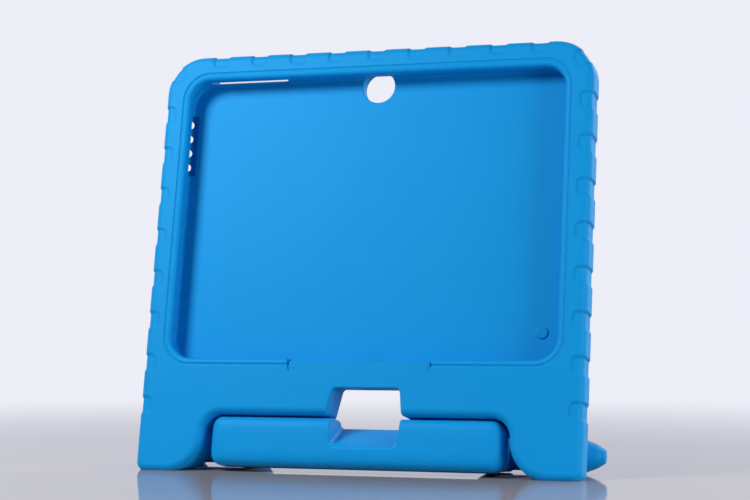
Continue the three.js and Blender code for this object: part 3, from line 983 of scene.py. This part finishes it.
    def build(self) -> bpy.types.Object:
        """Builds the case in the plane of its face.

        Returns:
            The case, before it is leaned back.
        """
        plan = self.plan
        treads = [self.tread(grow, share) for grow, share in TREAD_STAGES]
        case = Moulding("foam_case", self.plate())
        for cut in (*treads, self.pocket(), self.groove(), *self.thumb_relief(), *self.speaker_openings()):
            case.meet(Join.CUT, cut)
        case.meet(Join.ADD, self.pad())
        case.meet(Join.CUT, self.camera_hole())
        for cut in self.key_slot():
            case.meet(Join.CUT, cut)
        case.meet(Join.CUT, self.plug_slot())
        for cut in self.finger_window():
            case.meet(Join.CUT, cut)
        for side in Side:
            case.meet(Join.ADD, self.rear_lug(side))
        pin = Vector((plan.half_width + OVERSHOOT, plan.hub_y, -plan.hub_depth))
        case.meet(Join.CUT, rod(pin * Vector((-1, 1, 1)), pin, plan.peg_radius + plan.hinge_clearance))
        case.meet(Join.CUT, self.below_table())
        return case.settle()

    def dress(self, piece: bpy.types.Object, skin: bpy.types.Material) -> None:
        """Gives the case its finish and fixes it to its CAD body."""
        finish_piece(piece, skin, "case", "case_body")


@dataclass
class SwingHandle:
    """The handle: grip bar, two cheeks, two hubs and two push-in pegs. Sizes are in millimetres."""

    plan: CasePlan
    # Grip bar. Its section is a superellipse, squarer where the power is higher.
    bar_set_back: float = 1.0
    bar_depth: float = 21.5
    end_round: float = 7.0
    power_above: float = 4.6
    power_below: float = 4.2
    # Cheeks and hubs.
    cheek_width: float = 18.0
    cheek_round: float = 3.0
    cheek_inset: float = 0.3
    hub_radius: float = 9.0
    # Peg head, from its shoulder to its blunt tip.
    head_radius: float = 9.1
    shoulder: float = 4.6
    taper: float = 10.6
    nose_radius: float = 6.6
    nose_length: float = 4.3
    tip_radius: float = 3.8
    # Notch that completes the finger window.
    notch_depth: float = 17.3
    notch_rise: float = 0.62
    notch_left_slant: float = 1.0
    notch_left_round: float = 2.5
    notch_right_slant: float = 2.0
    notch_right_round: float = 3.0

    def bar(self) -> BMesh:
        """Grip bar: a rounded square section that draws in to soft ends.

        Returns:
            The bar as a closed mesh.
        """
        plan, bm = self.plan, bmesh.new()
        right_end = [(plan.bar_half_length - self.end_round * (1 - sin), self.end_round * (1 - cos))
                     for sin, cos in quarter(9)]
        stations = [(-x, shrink) for x, shrink in reversed(right_end)] + right_end
        middle_y, middle_depth = (plan.bar_top + plan.bar_bottom) / 2, self.bar_set_back + self.bar_depth / 2
        half_height = (plan.bar_top - plan.bar_bottom) / 2
        rings = []
        for x, shrink in stations:
            known = set(bm.faces)
            circle = bmesh.ops.create_circle(bm, cap_ends=True, segments=72, radius=1.0)
            for vert in circle["verts"]:
                power = self.power_above if vert.co.x > 0 else self.power_below
                up, back = (math.copysign(abs(share) ** (2 / power), share) for share in vert.co[:2])
                vert.co = (x, middle_y + (half_height - shrink) * up,
                           -middle_depth + (self.bar_depth / 2 - shrink) * back)
            rings.append(next(face for face in bm.faces if face not in known))
        loft(bm, rings)
        return bm

    def cheek(self, side: Side) -> BMesh:
        """Cheek that runs from the bar back to the hub.

        Args:
            side: Side that it is on.

        Returns:
            The cheek.
        """
        plan = self.plan
        front, rear = self.bar_set_back + self.bar_depth / 2, plan.hub_depth + self.hub_radius
        # The radius is a hair under the hub's, which keeps the edge between the two arcs from vanishing.
        bend = self.hub_radius - 0.1
        profile = [
            Corner(front, plan.bar_bottom + self.cheek_inset),
            Corner(rear, plan.hub_y - self.hub_radius, bend, 14),
            Corner(rear, plan.hub_y + self.hub_radius, bend, 14),
            Corner(front, plan.bar_top - self.cheek_inset),
        ]
        outer = plan.bar_half_length - self.end_round / 2
        cheek = slab(profile, outer - self.cheek_width, outer, self.cheek_round, self.cheek_round, steps=6)
        return across(cheek, side)

    def hub_and_peg(self, side: Side) -> BMesh:
        """Hub, peg and cone-tipped head on one side.

        Args:
            side: Side that it is on.

        Returns:
            The turned shape.
        """
        plan = self.plan
        inner = plan.bar_half_length - self.cheek_width
        hub_end, head = plan.lug_inner - plan.hinge_clearance, plan.lug_outer + plan.hinge_clearance
        taper_start = head + self.shoulder
        tip = taper_start + self.taper
        bm = turned([
            Corner(inner, 0.0), Corner(tip, 0.0), Corner(tip, self.tip_radius, 1.2, 5),
            Corner(tip - self.nose_length, self.nose_radius, 3.0, 6),
            Corner(taper_start, self.head_radius, 2.0, 6), Corner(head, self.head_radius, 0.6, 4),
            Corner(head, plan.peg_radius), Corner(hub_end, plan.peg_radius),
            Corner(hub_end, self.hub_radius, 1.0, 4), Corner(inner, self.hub_radius),
        ])
        place = Matrix.Translation((0, plan.hub_y, -plan.hub_depth))
        return moved(bm, place @ Matrix.Diagonal((side.value, 1, 1, 1)))

    def notch(self) -> BMesh:
        """Cutter of the notch that completes the finger window.

        Returns:
            The cutter, in its place.
        """
        plan, flare = self.plan, self.plan.window_flare
        left, right, floor = plan.window_left, plan.window_right, plan.bar_top - self.notch_depth
        above = plan.bar_top + (plan.bar_top - plan.bar_bottom)
        outline = [
            Corner(left + self.notch_left_slant, floor, self.notch_left_round),
            Corner(right - self.notch_right_slant, floor, self.notch_right_round),
            Corner(right, plan.bar_top, flare / 2), Corner(right + flare, plan.bar_top),
            Corner(right + flare, above), Corner(left - flare, above),
            Corner(left - flare, plan.bar_top), Corner(left, plan.bar_top, flare / 2),
        ]
        # The cutter goes on well behind the bar, since it climbs as it goes.
        far = self.bar_set_back + self.bar_depth + 8.0
        return tunnel(outline, self.bar_set_back, far, plan.window_edge, rise=self.notch_rise,
                      rise_from=self.bar_set_back)

    def build(self) -> bpy.types.Object:
        """Builds the handle in the plane of the case.

        Returns:
            The handle, before it is leaned back.
        """
        handle = Moulding("foam_handle", self.bar())
        for side in Side:
            handle.meet(Join.ADD, self.cheek(side))
            handle.meet(Join.ADD, self.hub_and_peg(side))
        handle.meet(Join.CUT, self.notch())
        return handle.settle()

    def dress(self, piece: bpy.types.Object, skin: bpy.types.Material) -> None:
        """Gives the handle its finish and fixes it to its CAD body."""
        finish_piece(piece, skin, "handle", "swing_handle")


def seen_directly(tree: bpy.types.NodeTree) -> bpy.types.NodeSocket:
    """Adds nodes that tell what the camera or a reflection sees from what only lights the case.

    Args:
        tree: Node tree that they are added to.

    Returns:
        The output that is 1 for what is seen and 0 for what lights.
    """
    path = add_node(tree, "ShaderNodeLightPath")
    seen = path.outputs["Is Camera Ray"]
    for kind in ("Is Glossy Ray", "Is Transmission Ray"):
        seen = add_node(tree, "ShaderNodeMath", links={0: seen, 1: path.outputs[kind]},
                        operation="MAXIMUM").outputs[0]
    return seen


@dataclass(frozen=True)
class TableLacquer:
    """Lacquered board.

    The lacquer gives the eye a soft mirror of what stands on the board at a glancing look, and a plain pale
    surface from higher up. Away from the case the board fades into the backdrop.
    """

    name: str = "lacquered_table"
    board_colour: str = "#b0aba9"
    lacquer_colour: str = "#f2f3f8"
    roughness: float = 0.07
    mirror: float = 0.62
    # Shares of Facing, 0 for a look straight down and 1 along the board, between which the mirror sets in.
    glance: tuple[float, float] = (0.80, 0.93)
    # Distances from the case between which the board fades, in metres.
    fade: tuple[float, float] = (0.22, 1.10)

    def material(self, backdrop: str, surroundings: float) -> bpy.types.Material:
        """Builds the table's material.

        Args:
            backdrop: Colour that it fades into.
            surroundings: Strength with which the faded part lights the case.

        Returns:
            The material.
        """
        made = bpy.data.materials.new(self.name)
        tree = empty_tree(made)
        weight = add_node(tree, "ShaderNodeLayerWeight", {"Blend": 0.5})
        glance = add_node(tree, "ShaderNodeMapRange",
                          {"From Min": self.glance[0], "From Max": self.glance[1], "To Max": self.mirror},
                          {"Value": weight.outputs["Facing"]})
        board = add_node(tree, "ShaderNodeBsdfDiffuse", {"Color": srgb(self.board_colour)})
        lacquer = add_node(tree, "ShaderNodeBsdfGlossy",
                           {"Color": srgb(self.lacquer_colour), "Roughness": self.roughness})
        near = add_node(tree, "ShaderNodeMixShader", links={
            0: glance.outputs["Result"], 1: board.outputs["BSDF"], 2: lacquer.outputs["BSDF"]})
        power = add_node(tree, "ShaderNodeMapRange", {"To Min": surroundings}, {"Value": seen_directly(tree)})
        far = add_node(tree, "ShaderNodeEmission", {"Color": srgb(backdrop)},
                       {"Strength": power.outputs["Result"]})
        place = add_node(tree, "ShaderNodeTexCoord").outputs["Object"]
        away = add_node(tree, "ShaderNodeVectorMath", links={0: place}, operation="LENGTH")
        faded = add_node(tree, "ShaderNodeMapRange", {"From Min": self.fade[0], "From Max": self.fade[1]},
                         {"Value": away.outputs["Value"]}, interpolation_type="SMOOTHSTEP")
        mixed = add_node(tree, "ShaderNodeMixShader", links={
            0: faded.outputs["Result"], 1: near.outputs["Shader"], 2: far.outputs["Emission"]})
        add_node(tree, "ShaderNodeOutputMaterial", links={"Surface": mixed.outputs["Shader"]})
        return made


@dataclass(frozen=True)
class SoftLamp:
    """Square lamp, with its place and side in metres and its power in watts."""

    name: str
    place: tuple[float, float, float]
    side: float
    power: float

    def hang(self, target: Vector) -> None:
        """Hangs the lamp.

        Args:
            target: Point that it faces.
        """
        lamp = bpy.data.lights.new(self.name, "AREA")
        lamp.shape, lamp.size, lamp.energy = "SQUARE", self.side, self.power
        made = bpy.data.objects.new(self.name, lamp)
        made.location = self.place
        made.rotation_euler = (target - Vector(self.place)).to_track_quat("-Z", "Y").to_euler()
        bpy.context.scene.collection.objects.link(made)


@dataclass(frozen=True)
class Studio:
    """Plain pale table, pale surroundings, soft lamps and the camera.

    Places are in metres, angles in degrees and the lens in millimetres.
    """

    table_size: float = 4.0
    backdrop: str = "#edeef7"
    daylight: str = "#f4f6ff"
    surroundings: float = 0.08
    lamps: tuple[SoftLamp, ...] = (
        SoftLamp("key", (-0.40, -0.52, 0.57), 0.26, 5.0),
        SoftLamp("side", (0.60, -0.20, 0.20), 0.3, 1.8),
        SoftLamp("rear", (0.8, 1.0, 0.9), 0.8, 8.0),
    )
    lamps_face: tuple[float, float, float] = (0.0, 0.0, 0.12)
    camera_place: tuple[float, float, float] = (0.33147, -1.01614, 0.08764)
    camera_tilt: float = 92.308
    camera_turn: float = 17.826
    camera_lens: float = 86.4

    def lay_table(self) -> None:
        """Lays the table that the case stands on."""
        bm = bmesh.new()
        bmesh.ops.create_grid(bm, x_segments=1, y_segments=1, size=self.table_size)
        table = to_object(bm, "table")
        table.data.materials.append(TableLacquer().material(self.backdrop, self.surroundings))

    def surround(self) -> None:
        """Sets the pale surroundings, which the camera and reflections see at their own colour."""
        world = bpy.data.worlds.new("surroundings")
        bpy.context.scene.world = world
        tree = empty_tree(world)
        lit = add_node(tree, "ShaderNodeBackground",
                       {"Color": srgb(self.daylight), "Strength": self.surroundings})
        plain = add_node(tree, "ShaderNodeBackground", {"Color": srgb(self.backdrop), "Strength": 1.0})
        mixed = add_node(tree, "ShaderNodeMixShader", links={
            0: seen_directly(tree), 1: lit.outputs[0], 2: plain.outputs[0]})
        add_node(tree, "ShaderNodeOutputWorld", links={"Surface": mixed.outputs[0]})

    def set_camera(self) -> None:
        """Sets the camera where the photograph was taken from."""
        camera = bpy.data.cameras.new("camera")
        camera.lens, camera.sensor_width = self.camera_lens, 36.0
        made = bpy.data.objects.new("camera", camera)
        made.location = self.camera_place
        made.rotation_euler = (math.radians(self.camera_tilt), 0.0, math.radians(self.camera_turn))
        bpy.context.scene.collection.objects.link(made)
        bpy.context.scene.camera = made

    def build(self) -> None:
        """Builds the whole studio."""
        bpy.context.scene.view_settings.view_transform = "Standard"
        self.lay_table()
        self.surround()
        for lamp in self.lamps:
            lamp.hang(Vector(self.lamps_face))
        self.set_camera()


def main() -> None:
    """Builds the case, its handle and the studio."""
    logging.basicConfig(level=logging.INFO, format="%(name)s: %(message)s")
    plan = CasePlan()
    skin = FoamSkin().material()
    case, handle = FoamCase(plan), SwingHandle(plan)
    case_piece, handle_piece = case.build(), handle.build()
    set_back = plan.set_back(case_piece, "case_body")
    LOG.info("set back %.3f mm", set_back)
    for part, piece in ((case, case_piece), (handle, handle_piece)):
        plan.stand_up(piece, set_back)
        part.dress(piece, skin)
    Studio().build()


if __name__ == "__main__":
    main()
